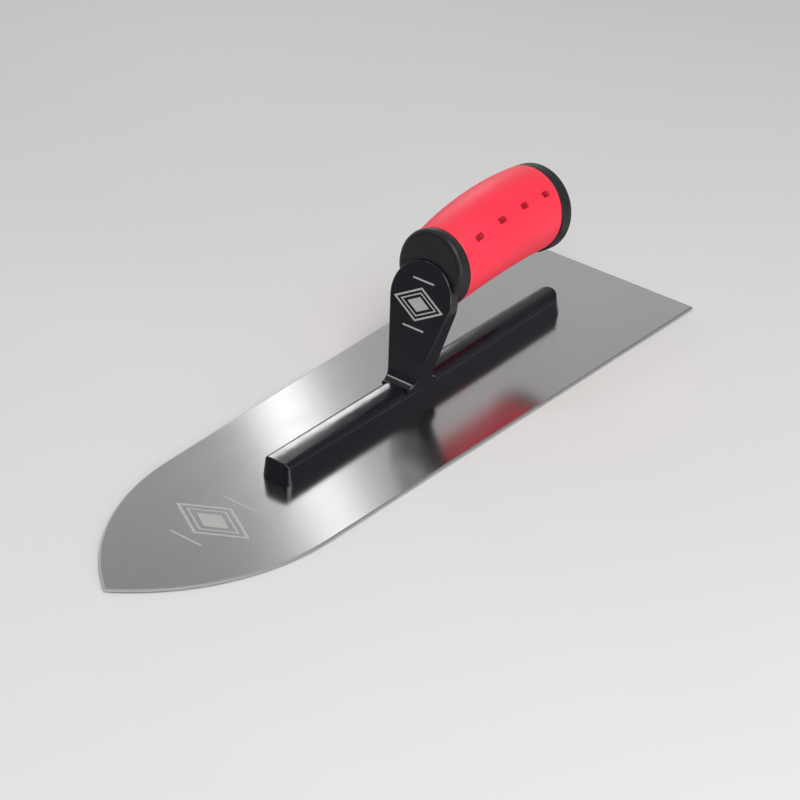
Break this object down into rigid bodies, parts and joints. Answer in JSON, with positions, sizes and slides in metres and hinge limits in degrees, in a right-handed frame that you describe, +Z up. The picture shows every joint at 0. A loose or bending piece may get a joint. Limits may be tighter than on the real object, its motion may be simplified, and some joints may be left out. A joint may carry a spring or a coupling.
{
  "type": "pointed finishing trowel",
  "caption": "Concrete finishing trowel: pointed flat steel blade, black cast mounting with a leaning neck, and an arched soft grip with black ends.",
  "frame": {"origin": "on the underside of the blade, at the centre of its bounding rectangle", "axes": "+X along the blade towards the pointed nose, +Y to the left side, +Z up from the blade towards the handle"},
  "size_m": [0.4, 0.12, 0.097],
  "materials": {
    "blade_steel": "satin ground spring steel with soft, blurred reflections",
    "stud_steel": "plain zinc-bright steel",
    "black_enamel": "gloss black enamel on cast aluminium",
    "black_moulding": "fine matt black moulding",
    "pale_print": null,
    "red_grip": "coral red satin soft-touch overmould"
  },
  "bodies": {
    "root": {"blade": "blade_steel", "blade_studs": "stud_steel", "mounting_casting": "black_enamel", "front_collar": "black_moulding", "handle_core": "black_moulding", "grip_sleeve": "red_grip", "handle_bolt": "stud_steel", "bolt_washer": "stud_steel", "butt_plug": "black_moulding"}
  },
  "joints": []
}
